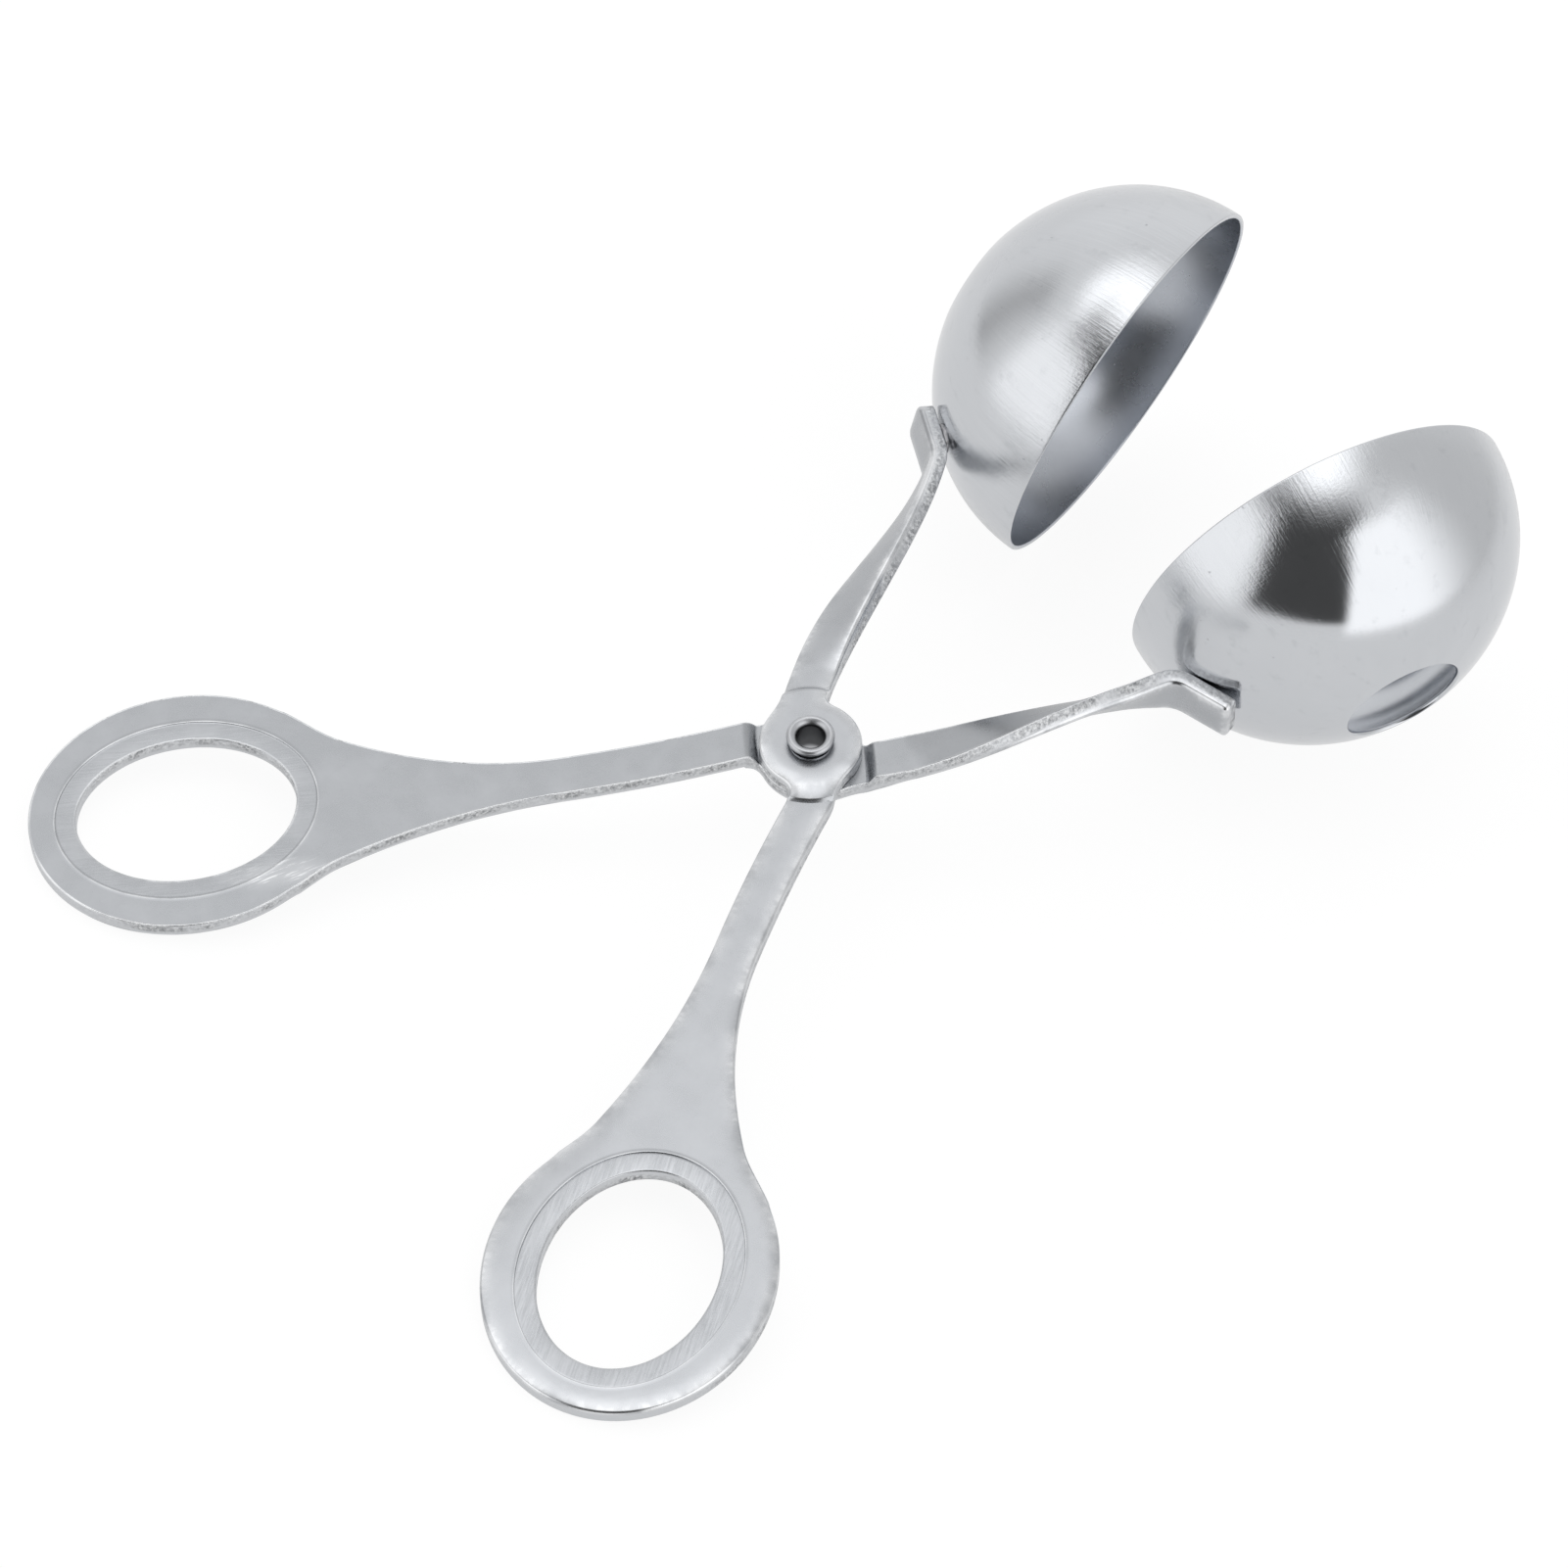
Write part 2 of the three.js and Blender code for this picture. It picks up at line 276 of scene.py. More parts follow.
def blank_outline(arm):
    """The blank's outline as evenly spaced points. Its upper and lower edge are read off column by column,
    spaced by length, closer at the arm and the hub, and pulled onto the zero line."""
    handle_spacing, arm_spacing, hub_spacing, hub_zone = 0.4, 0.3, 0.16, 9.5
    end = (arm_start + arm.ahead * arm.length)[0] + strip_half
    x = np.linspace(ring_place[0] - ring_half[0] - 1, end, 3000)
    y = np.linspace(-ring_half[1] - 4, ring_half[1] + 4, 500)
    inside = blank_distance(np.stack(np.meshgrid(x, y, indexing="ij"), axis=-1), arm) < 0
    x, inside = x[inside.any(axis=1)], inside[inside.any(axis=1)]
    low = y[inside.argmax(axis=1)]
    high = y[len(y) - 1 - inside[:, ::-1].argmax(axis=1)]
    loop = np.concatenate([np.column_stack([x, low]), np.column_stack([x, high])[::-1]])
    loop = np.concatenate([loop, loop[:1]])
    step = np.linalg.norm(np.diff(loop, axis=0), axis=1)
    spacing = np.where(loop[1:, 0] < 0, handle_spacing, arm_spacing)
    spacing = np.where(np.abs(loop[1:, 0]) < hub_zone, hub_spacing, spacing)
    count = np.append(0, np.cumsum(step / spacing))
    even = np.linspace(0, count[-1], int(count[-1]) + 1)[:-1]
    return pulled(np.column_stack([np.interp(even, count, loop[:, k]) for k in (0, 1)]), arm, 0)


# The pressed hub: the step on the face under the other hub, and the step and the bulging tongue on top.
step_inner = 5.95
step_arm = 7.2
step_neck = 7.5
step_straight = 0.4
neck_side_span = (0.3, 0.8)
top_step_start = 7.2
tongue_inner = 3.3
tongue_brow = 7.4
tongue_outer = 7.6
tongue_fall = 0.66
tongue_roundness = 2.5
brow_roundness = 1.3


def lift(xy, height, arm):
    """How far the pressed hub stands up. The lower face climbs beside the other hub in a step that runs
    nearly straight across the strip, and towards the neck ever more slowly. The upper face falls in a round
    step towards the arm, and towards the neck it bulges into a tongue and falls to a sharp corner."""
    reach = np.linalg.norm(xy, axis=-1)
    neck_side = eased(-xy[:, 0] / np.maximum(reach, tiny), *neck_side_span)
    across = np.hypot(xy[:, 0], step_straight * xy[:, 1])
    slow = (1 - np.clip((across - step_inner) / (step_neck - step_inner), 0, 1)) ** 2
    lower = 1 - eased(across, step_inner, step_arm)
    lower = lower + (slow - lower) * neck_side
    upper = 1 - eased(reach, top_step_start, arm.top_step_end)
    to_brow = np.clip((reach - tongue_inner) / (tongue_brow - tongue_inner), 0, 1)
    past_brow = np.clip((reach - tongue_brow) / (tongue_outer - tongue_brow), 0, 1)
    tongue = 1 - tongue_fall * to_brow**tongue_roundness - (1 - tongue_fall) * past_brow**brow_roundness
    upper = upper + (tongue - upper) * neck_side
    return hub_level * (lower + (upper - lower) * np.clip((height + face) / stock, 0, 1))


def formed(xy, height, arm):
    """The blank bent to shape. Up to the hub a point keeps its place and is lifted. Past it, the point keeps
    its distance along and across the arm's line, and the sheet is turned about that line by the twist."""
    along = (xy - arm_start) @ arm.ahead
    aside = ((xy - arm_start) @ arm.left)[:, None]
    station = np.clip(along, 0, arm.length)
    middle = np.column_stack([np.interp(station, arm.reach, values) for values in (*arm.line.T, arm.sunk)])
    heading = np.interp(station, arm.reach, arm.heading)
    turn = np.interp(station, arm.reach, arm.turn)[:, None]
    left = np.column_stack([-np.sin(heading), np.cos(heading), 0 * heading])
    side = left * np.cos(turn) - upright * np.sin(turn)
    up = left * np.sin(turn) + upright * np.cos(turn)
    bent = middle + aside * side + height[:, None] * up
    flat = np.column_stack([xy, height])
    shape = np.where(along[:, None] > 0, bent, flat)
    return shape + lift(xy, height, arm)[:, None] * upright


# The edges: rolled over on one face, with a crown that falls towards them, and burred on the other.
roll_width = 0.28
tab_roll = 0.5
tab_roll_span = (8, 18)
roll_share = 0.9
neck_crown = 0.15
ring_crowns = {"upper": 0.25, "lower": 0.1}
ring_crown_span = (46, 60)
crown_width = 1.5
flank_width = 2.2
flank_span = (2, 12)
burr_radius = 0.15
land_width = 2.3
land_depth = 0.14
land_ridge = 0.025


def roll_of(xy):
    """Width of the rolled edge, which grows along the arm."""
    return roll_width + (tab_roll - roll_width) * eased(xy[:, 0], *tab_roll_span)


def face_height(xy, depth, ring_crown):
    """Height of the rolled face: it falls away towards the edge, by another depth on the ring than on the
    neck, and over a wider strip on the ring's +Y flank."""
    crown = neck_crown + (ring_crown - neck_crown) * eased(-xy[:, 0], *ring_crown_span)
    width = crown_width + flank_width * eased(xy[:, 1], *flank_span)
    return face - crown * (1 - np.clip(depth / width, 0, 1)) ** 2


def band(count, rows, start):
    """Quads between neighbouring closed rows of the same count, numbered row by row from start."""
    i = np.arange(count)
    j = np.roll(i, -1)
    first = start + count * np.arange(rows - 1)[:, None]
    quads = np.stack([first + i, first + j, first + count + j, first + count + i], axis=-1)
    return quads.reshape(-1, 4)


def face_net(loops, inner):
    """Triangles that fill the blank between its loops and pass through the inner points."""
    points = np.concatenate([*loops, inner])
    edges, start = [], 0
    for loop in loops:
        i = start + np.arange(len(loop))
        edges += np.column_stack([i, np.roll(i, -1)]).tolist()
        start += len(loop)
    net = delaunay_2d_cdt([Vector(point) for point in points.tolist()], edges, [], 1, 1e-6)
    places = np.array([tuple(place) for place in net[0]])
    triangles = np.array(net[2])
    loop_of = np.repeat(np.arange(len(loops) + 1), [len(loop) for loop in loops] + [len(inner)])
    owner = np.array([loop_of[merged[0]] for merged in net[3]])[triangles]
    in_hole = (owner[:, 0] > 0) & (owner[:, 0] < len(loops)) & (owner == owner[:, :1]).all(axis=1)
    return places, triangles[~in_hole]


def inner_points(arm):
    """Points to fill the blank with: a coarse staggered grid on the handle, rings about the pivot on the hub
    and a fine grid on the arm, all clear of the edges and the holes."""
    handle_spacing, arm_spacing, hub_edge, arm_from = 0.8, 0.42, 8.9, 8.0
    x, y = np.meshgrid(np.arange(-88, 60, handle_spacing), np.arange(-20, 20, handle_spacing))
    stagger = 0.5 * handle_spacing * (np.round(y / handle_spacing) % 2)
    handle = np.column_stack([(x + stagger).ravel(), y.ravel()])
    handle = handle[(np.linalg.norm(handle, axis=-1) >= hub_edge) & (handle[:, 0] < arm_from)]
    reach, angle = np.meshgrid(np.linspace(2.9, 8.6, 48), np.linspace(0, 2 * np.pi, 160, endpoint=False))
    hub = np.column_stack([(reach * np.cos(angle)).ravel(), (reach * np.sin(angle)).ravel()])
    x, y = np.meshgrid(np.arange(arm_from, 60, arm_spacing), np.arange(-20, 20, arm_spacing))
    strip = np.column_stack([x.ravel(), y.ravel()])
    strip = strip[np.linalg.norm(strip, axis=-1) > hub_edge]
    inner = np.concatenate([handle, hub, strip])
    keep = blank_distance(inner, arm) < -roll_of(inner) - 0.15
    keep &= oval_distance(in_ring(inner), hole_half) > land_width + 0.8
    keep &= np.linalg.norm(inner, axis=-1) > pin_hole_radius + 0.45
    return inner[keep]


def new_mesh(name, points, faces):
    """A mesh of these points and faces."""
    mesh = bpy.data.meshes.new(name)
    mesh.from_pydata(points.tolist(), [], faces)
    return mesh


def keep_on(mesh, name, values):
    """Keeps a number or a vector on each of the mesh's points, for its finish to read."""
    kind, field = ("FLOAT_VECTOR", "vector") if values.ndim > 1 else ("FLOAT", "value")
    mesh.attributes.new(name, kind, "POINT").data.foreach_set(field, values.ravel().astype(np.float32))


def lever_mesh(name, ring_crown, arm):
    """One lever: a net for each face, and rows of points around the outline, the finger hole and the pin
    hole that carry each edge's profile from one face to the other. Each row says how much it is sheared
    and how much painted highlight it carries, a bright line painted along the edges."""
    outline = blank_outline(arm)
    blanks, heights, shears, highlights = [], [], [], []

    # Each row also carries its painted highlight, a bright line painted along the edge.
    def add_row(xy, height, shear, highlight):
        blanks.append(xy)
        for rows, value in ((heights, height), (shears, shear), (highlights, highlight)):
            rows.append(np.broadcast_to(value, len(xy)))

    rolled = roll_of(outline)
    for angle in np.linspace(0, np.pi / 2, 8):
        depth = rolled * (1 - np.sin(angle))
        row = pulled(outline, arm, depth)
        fall = roll_share * rolled * (1 - np.cos(angle))
        add_row(row, face_height(row, depth, ring_crown) - fall, 0.0, 0.9)
    wall_top = heights[-1]
    for share in np.linspace(0, 1, 7)[1:]:
        add_row(outline, wall_top + (burr_radius - face - wall_top) * share, 1.0, 0.0)
    for angle in np.linspace(0, np.pi / 2, 6)[1:]:
        row = pulled(outline, arm, burr_radius * (1 - np.cos(angle)))
        add_row(row, burr_radius * (1 - np.sin(angle)) - face, 1 - angle / np.pi, 1.0)
    for depth, highlight in ((burr_radius + 0.08, 0.3), (rolled, 0.0)):
        add_row(pulled(outline, arm, depth), -face, 0.0, highlight)
    outline_rows = len(blanks)

    # The finger hole's section, each point with its way out from the land's edge, height, shear and painted
    # highlight.
    # The coined land is half as deep on the burred face.
    land = face - land_depth
    coined = [
        (0.55, face, 0, 0), (0.26, face, 0, 0), (0.17, face + land_ridge, 0, 0.7),
        (0.07, face + land_ridge, 0, 1), (0.03, face, 0, 0.8), (0.015, land + 0.03, 0, 0),
        (0, land, 0, 0), (-0.2, land, 0, 0), (0.3 - land_width, land, 0, 0.1),
        (0.13 - land_width, land - 0.02, 0.2, 0.8), (0.04 - land_width, land - 0.08, 0.6, 0.7),
        (-land_width, land - 0.2, 1, 0),
    ]
    hole_profile = [(out, height, shear, 0.45 * highlight) for out, height, shear, highlight in coined]
    hole_profile += [(-land_width, 0, 1, 0)]
    for out, height, shear, highlight in coined[::-1]:
        hole_profile.append((out, (face - height) / 2 - face, shear, 0.6 * highlight))
    around = np.linspace(0, 2 * np.pi, 360, endpoint=False)
    ring = np.column_stack([np.cos(around), np.sin(around)])
    c, s = np.cos(ring_turn), np.sin(ring_turn)
    for out, height, shear, highlight in hole_profile:
        row = ring * (hole_half + land_width + out) @ np.array([[c, -s], [s, c]]) + ring_place
        add_row(row, height, shear, highlight)

    turn = ring[::4]
    pin_profile = [(0.35, face), (0.1, face), (0, face - 0.1), (0, 0.1 - face), (0.1, -face), (0.35, -face)]
    for out, height in pin_profile:
        add_row(turn * (pin_hole_radius + out), height, 0.0, 0.0)

    hole_at, pin_at = outline_rows, outline_rows + len(hole_profile)
    net, triangles = face_net([blanks[0], blanks[hole_at], blanks[pin_at]], inner_points(arm))
    net_depth = -blank_distance(net, arm)
    net_reach = np.linalg.norm(net, axis=-1)
    at_hole = oval_distance(in_ring(net), hole_half) < land_width + 0.7
    net_top = np.where(at_hole, face, face_height(net, net_depth, ring_crown))
    # Painted highlight on the faces: a bright band along the rolled edges and on the tongue's brow.
    edge_highlight = 0.55 * (1 - np.clip((net_depth - roll_width) / 1.8, 0, 1)) ** 2 * ~at_hole
    brow_highlight = eased(net_reach, 4.6, 6.2) * (net_reach < tongue_brow) * eased(-net[:, 0], 2, 4)
    top_start = sum(len(xy) for xy in blanks)
    bottom_start = top_start + len(net)
    add_row(net, net_top, 0.0, np.maximum(edge_highlight, 0.8 * brow_highlight))
    add_row(net, -face, 0.0, 0.0)

    hole_start = len(outline) * outline_rows
    pin_start = hole_start + len(ring) * len(hole_profile)
    faces = band(len(outline), outline_rows, 0).tolist()
    faces += band(len(ring), len(hole_profile), hole_start)[:, ::-1].tolist()
    faces += band(len(turn), len(pin_profile), pin_start)[:, ::-1].tolist()
    faces += (triangles + top_start).tolist()
    faces += (triangles[:, ::-1] + bottom_start).tolist()

    xy, height, shear = np.concatenate(blanks), np.concatenate(heights), np.concatenate(shears)
    mesh = new_mesh(name, formed(xy, height, arm), faces)
    keep_on(mesh, "blank", np.column_stack([xy, height]))
    keep_on(mesh, "sheared", shear)
    keep_on(mesh, "rub_and_highlight", np.concatenate(highlights))
    on_land = eased(land_width - oval_distance(in_ring(xy), hole_half), -0.01, 0.05)
    keep_on(mesh, "land", on_land * (1 - shear))
    return mesh


def closed_piece(name, mesh):
    """An object of the mesh with its doubles merged and its faces turned outward, smooth but for its
    sharp edges."""
    net = bmesh.new()
    net.from_mesh(mesh)
    bmesh.ops.remove_doubles(net, verts=net.verts, dist=0.002)
    bmesh.ops.recalc_face_normals(net, faces=net.faces)
    net.to_mesh(mesh)
    net.free()
    mesh.polygons.foreach_set("use_smooth", np.ones(len(mesh.polygons), bool))
    mesh.set_sharp_from_angle(angle=np.radians(50))
    piece = bpy.data.objects.new(name, mesh)
    bpy.context.scene.collection.objects.link(piece)
    return piece


def placed(mesh, place):
    """Moves a mesh's points by a function of whole arrays, from the tongs' plane into the part's frame."""
    points = np.empty(len(mesh.vertices) * 3)
    mesh.vertices.foreach_get("co", points)
    mesh.vertices.foreach_set("co", in_part(place(points.reshape(-1, 3))).ravel())


class Wire:
    """A socket in a material's or the world's node tree. Sums and products of wires add Math nodes."""

    def __init__(self, tree, socket=None):
        self.tree = tree
        self.socket = socket

    def node(self, kind, inputs=(), out=0, **settings):
        """A new node of that kind: its settings first, then its inputs by name or number."""
        made = self.tree.nodes.new(kind)
        for name, value in settings.items():
            setattr(made, name, value)
        for name, value in dict(inputs).items():
            if isinstance(value, Wire):
                self.tree.links.new(value.socket, made.inputs[name])
            else:
                made.inputs[name].default_value = value
        return Wire(self.tree, made.outputs[out])

    def math(self, operation, *values):
        """A Math node on these values."""
        return self.node("ShaderNodeMath", dict(enumerate(values)), operation=operation)

    def __add__(self, other):
        return self.math("ADD", self, other)

    def __sub__(self, other):
        return self.math("SUBTRACT", self, other)

    def __rsub__(self, other):
        return self.math("SUBTRACT", other, self)

    def __mul__(self, other):
        return self.math("MULTIPLY", self, other)

    __radd__ = __add__
    __rmul__ = __mul__

    def between(self, low, high):
        """0 below low, 1 above high and a smooth S between them."""
        limits = {"Value": self, "From Min": low, "From Max": high}
        return self.node("ShaderNodeMapRange", limits, interpolation_type="SMOOTHSTEP")

    def kept_number(self, name):
        """The number of that name that the mesh keeps on its points."""
        return self.node("ShaderNodeAttribute", out=2, attribute_name=name)

    def kept_vector(self, name):
        """The vector of that name that the mesh keeps on its points."""
        return self.node("ShaderNodeAttribute", out=1, attribute_name=name)

    def part(self, axis):
        """One part of this vector: 0 for X, 1 for Y and 2 for Z."""
        return self.node("ShaderNodeSeparateXYZ", {0: self}, out=axis)

    def length(self):
        """Length of this vector."""
        return self.node("ShaderNodeVectorMath", {0: self}, out=1, operation="LENGTH")

    def along(self, direction):
        """How far this vector reaches in a direction, as their dot product."""
        return self.node("ShaderNodeVectorMath", {0: self, 1: direction}, out=1, operation="DOT_PRODUCT")

    def stretched(self, scale):
        """The vector with each part multiplied by its own number."""
        return self.node("ShaderNodeVectorMath", {0: self, 1: scale}, operation="MULTIPLY")

    def noise(self, scale, detail, roughness):
        """Noise from 0 to 1 on this vector."""
        settings = {"Vector": self, "Scale": scale, "Detail": detail, "Roughness": roughness}
        return self.node("ShaderNodeTexNoise", settings)


def mixed(share, first, second):
    """Colour from first to second as share goes from 0 to 1. Each is a wire, or red, green and blue."""
    first, second = (c if isinstance(c, Wire) else (*c, 1) for c in (first, second))
    return share.node("ShaderNodeMix", {0: share, 6: first, 7: second}, out=2, data_type="RGBA")


def finish(name):
    """A new material, a wire to make its nodes with, and its Principled shader."""
    material = bpy.data.materials.new(name)
    material.use_nodes = True
    shader = material.node_tree.nodes["Principled BSDF"]
    return material, Wire(material.node_tree), shader


def metal(wire, shader, colour, rough, height, strength, depth):
    """Makes the shader metal with this colour and roughness, and a bump of that depth in millimetres."""
    bump = wire.node("ShaderNodeBump", {"Height": height, "Strength": strength, "Distance": depth * mm})
    for name, value in (("Base Color", colour), ("Roughness", rough), ("Normal", bump)):
        wire.tree.links.new(value.socket, shader.inputs[name])
    shader.inputs["Metallic"].default_value = 1.0


def lever_finish():
    """Tumbled stainless sheet: faint clouds and grain, one scratched place on the burred face painted bright
    as a highlight, straight lines on the coined land, a painted highlight along the edges, the rolled face
    painted lighter than the burred one as painted light, and walls that are smooth from the punch near one
    face and torn near the other, but for the ring's tip. The patterns follow the blank."""
    material, wire, shader = finish("lever_steel")
    blank = wire.kept_vector("blank")
    sheared = wire.kept_number("sheared")
    rub_and_highlight = wire.kept_number("rub_and_highlight")
    land = wire.kept_number("land")
    level = blank.part(2)
    rolled_face = level.between(-0.4, 0.4)
    clouds = blank.noise(0.22, 4.0, 0.6)
    grain = blank.noise(3.0, 4.0, 0.65)
    lines = blank.stretched((0.2, 3.8, 0.0)).noise(1.0, 4.0, 0.7)
    # One patch of scratches on the burred face, painted bright as a highlight.
    from_scuff_highlight = wire.node("ShaderNodeMapping", {"Vector": blank, "Location": (60, -9.9, 0)})
    scuff_highlight_reach = from_scuff_highlight.stretched((0.13, 0.4, 0)).length()
    slanted = wire.node("ShaderNodeMapping", {"Vector": blank, "Rotation": (0, 0, np.radians(20))})
    strokes = slanted.stretched((0.3, 3.0, 0.0)).noise(1.0, 3.0, 0.6).between(0.52, 0.68)
    scuffs_and_highlight = (0.2 + 0.75 * strokes) * (1 - scuff_highlight_reach.between(0.25, 1.0)) * (1 - rolled_face)
    torn = blank.stretched((2.3, 2.3, 2.0)).noise(1.0, 4.0, 0.72)
    past_tip = blank.part(0).between(-84, -76)
    tearing = sheared * past_tip * (1 - level.between(-0.2, 0.5)) * (0.3 + 0.7 * clouds.between(0.4, 0.62))
    brushed = land * (0.35 + 0.65 * rolled_face)
    # Painted light: the rolled face is painted lighter than the burred face, so the upper lever, which shows
    # its rolled face, looks more brightly lit than the lower one.
    tone = 0.06 + 0.28 * rolled_face + 0.55 * (clouds - 0.5) + 0.1 * (grain - 0.5)
    tone = tone + 1.7 * (lines - 0.5) * brushed
    # Painted highlight: the edges and the scratched patch are mixed towards light steel.
    bright = rub_and_highlight * (0.1 + 0.9 * clouds.between(0.32, 0.62)) + scuffs_and_highlight * (1 - sheared)
    satin = mixed(tone, (0.40, 0.412, 0.43), (0.625, 0.64, 0.667))
    cut = mixed(torn.between(0.3, 0.7), (0.2, 0.207, 0.22), (0.86, 0.87, 0.88))
    wall = mixed(tearing, (0.66, 0.674, 0.695), cut)
    steel = mixed(bright, mixed(sheared, satin, wall), (0.80, 0.81, 0.825))
    rough = 0.20 + 0.10 * clouds + 0.06 * grain + 0.06 * sheared - 0.05 * rub_and_highlight
    height = 0.012 * grain + 0.25 * lines * brushed + 0.06 * grain * sheared + 1.5 * torn * tearing
    metal(wire, shader, steel, rough, height, strength=1.0, depth=0.12)
    return material


lever_steel = lever_finish()
for side in ("upper", "lower"):
    sheet = lever_mesh(f"{side}_lever_sheet", ring_crowns[side], arms[side])
    lever = closed_piece(f"{side}_lever_sheet", sheet)
    placed(lever.data, lambda points: on_side(turned(points, lever_angle), side))
    lever.data.materials.append(lever_steel)
    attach(lever, f"{side}_half")
    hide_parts(f"{side}_lever")

# Cups. Each is a half ball pressed from thin sheet, polished outside, with fine draw lines that run up
# from the rim, and a round vent punched in its crown. The cut edges are rounded over a little. The upper
# cup is more strongly brushed and duller inside, and the lower one is welded on a little higher.
cup_wall = 0.6
middle_radius = cup_radius - cup_wall / 2
middle_depth = cup_depth - cup_wall / 2
vent_radius = 14 / 2
rim_height = 0.15
cup_rise = {"upper": 0.0, "lower": 0.7}
cup_dullness = {"upper": 1.0, "lower": 0.45}
cup_brushing = {"upper": 1.0, "lower": 0.2}


def revolved(profile, turns, axes):
    """A closed profile of (radius, height) pairs carried around: at angle a, the point stands at radius times
    cos a and sin a along the first two axes, and at its height along the third."""
    angle = np.linspace(0, 2 * np.pi, turns, endpoint=False)[:, None, None]
    radius, height = profile[:, 0, None], profile[:, 1, None]
    first, second, third = np.eye(3)[axes]
    points = radius * (np.cos(angle) * first + np.sin(angle) * second) + height * third
    rows = np.arange(turns)[:, None] * len(profile)
    next_rows = np.roll(rows, -1, axis=0)
    k = np.arange(len(profile))
    after = np.roll(k, -1)
    quads = np.stack([rows + k, rows + after, next_rows + after, next_rows + k], axis=-1)
    return points.reshape(-1, 3), quads.reshape(-1, 4).tolist()


def cup_profile():
    """The wall's section: an elliptical quarter arc from rim to vent, with half the wall on each side, closed
    at both ends by a squarish round edge."""
    start = np.arccos(rim_height / middle_depth)
    end = np.arcsin(vent_radius / middle_radius)
    length = (start - end) * middle_radius
    edge = cup_wall / 2 / length
    near = edge * (1 - np.cos(np.linspace(0, np.pi / 2, 9)))
    share = np.concatenate([near, np.linspace(edge, 1 - edge, 110)[1:-1], 1 - near[::-1]])
    closeness = np.clip(1 - np.minimum(share, 1 - share) / edge, 0, 1)
    thickness = cup_wall / 2 * (1 - closeness**4) ** 0.25
    angle = start + (end - start) * share
    middle = np.column_stack([middle_radius * np.sin(angle), middle_depth * np.cos(angle)])
    normal = np.column_stack([np.sin(angle) / middle_radius, np.cos(angle) / middle_depth])
    normal /= np.linalg.norm(normal, axis=1, keepdims=True)
    outside = middle + thickness[:, None] * normal
    inside = middle - thickness[:, None] * normal
    return np.concatenate([outside, inside[-2:0:-1]])


def cup_mesh(name, dullness, brushing):
    """The section carried around the cup's axis. Kept for the finish are the place around and along the wall,
    how dull the inside is and how strongly the outside is brushed."""
    points, quads = revolved(cup_profile(), 256, [0, 2, 1])
    mesh = new_mesh(name, points, quads)
    radius = np.hypot(points[:, 0], points[:, 2])
    up = cup_radius * np.arctan2(points[:, 1], radius)
    keep_on(mesh, "drawn", np.column_stack([
        points[:, 0] / radius * cup_radius, points[:, 2] / radius * cup_radius, up,
    ]))
    level = (radius / middle_radius) ** 2 + (points[:, 1] / middle_depth) ** 2
    keep_on(mesh, "inside", dullness * (level < 1))
    keep_on(mesh, "brushed", brushing * (level >= 1))
    return mesh


def cup_place_of(points):
    """From the cup's own axes, crown along Y, to the tongs' plane with the upper half open."""
    c, s = np.cos(cup_lean), np.sin(cup_lean)
    leaned = points @ np.array([[1, 0, 0], [0, c, s], [0, -s, c]])
    return turned(leaned + cup_place, half_opening)


def cup_finish():
    """Polished steel: draw lines up from the rim, a softer polish near the rim, faint clouds and stains and a
    few dark specks. The lines follow the wall."""
    material, wire, shader = finish("cup_steel")
    drawn = wire.kept_vector("drawn")
    up = drawn.part(2)
    inside = wire.kept_number("inside")
    outside = 1 - inside
    rim = (1 - up.between(2.0, 17.0)) * (1 - 0.75 * inside)
    brushed = wire.kept_number("brushed") * (1 - up.between(10.0, 26.0))
    lines = drawn.stretched((3.6, 3.6, 0.08)).noise(1.0, 4.0, 0.7)
    clouds = drawn.noise(0.16, 4.0, 0.6)
    peel = drawn.noise(3.2, 4.0, 0.6)
    specks = drawn.noise(0.9, 1.0, 0.4).between(0.77, 0.82) * outside
    stains = drawn.noise(0.4, 5.0, 0.65).between(0.55, 0.72) * outside
    tone = 0.5 * clouds + 0.3 * lines * rim + 0.25 + 0.8 * (lines - 0.5) * brushed - 0.5 * stains
    steel = mixed(tone, (0.59, 0.605, 0.63), (0.67, 0.685, 0.71))
    steel = mixed(0.5 * specks, steel, (0.36, 0.37, 0.39))
    dull = mixed(clouds, (0.48, 0.503, 0.545), (0.62, 0.645, 0.69))
    rough = 0.06 + 0.07 * clouds + 0.04 * rim + 0.10 * specks + 0.17 * inside + 0.03 * stains
    height = 2.0 * lines * rim + 1.1 * lines * brushed + (0.14 + 1.5 * rim) * peel * outside
    metal(wire, shader, mixed(inside, steel, dull), rough, height, strength=0.5, depth=0.02)
    return material


cup_steel = cup_finish()
for side in ("upper", "lower"):
    shell = cup_mesh(f"{side}_cup_shell", cup_dullness[side], cup_brushing[side])
    cup = closed_piece(f"{side}_cup_shell", shell)
    placed(cup.data, lambda points: on_side(cup_place_of(points), side) + cup_rise[side] * upright)
    cup.data.materials.append(cup_steel)
    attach(cup, f"{side}_half")
    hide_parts(f"{side}_cup")

# Welds. A spot weld holds each cup to its tab. Its metal fills the gap between them at the tab's edge
# as a small uneven bead, dull and grey.
weld_radius = 2.6 / 2
weld_stretch = 1.5
weld_thick = 0.55
weld_proud = 0.3
weld_back = {"upper": 3.6, "lower": 0.4}


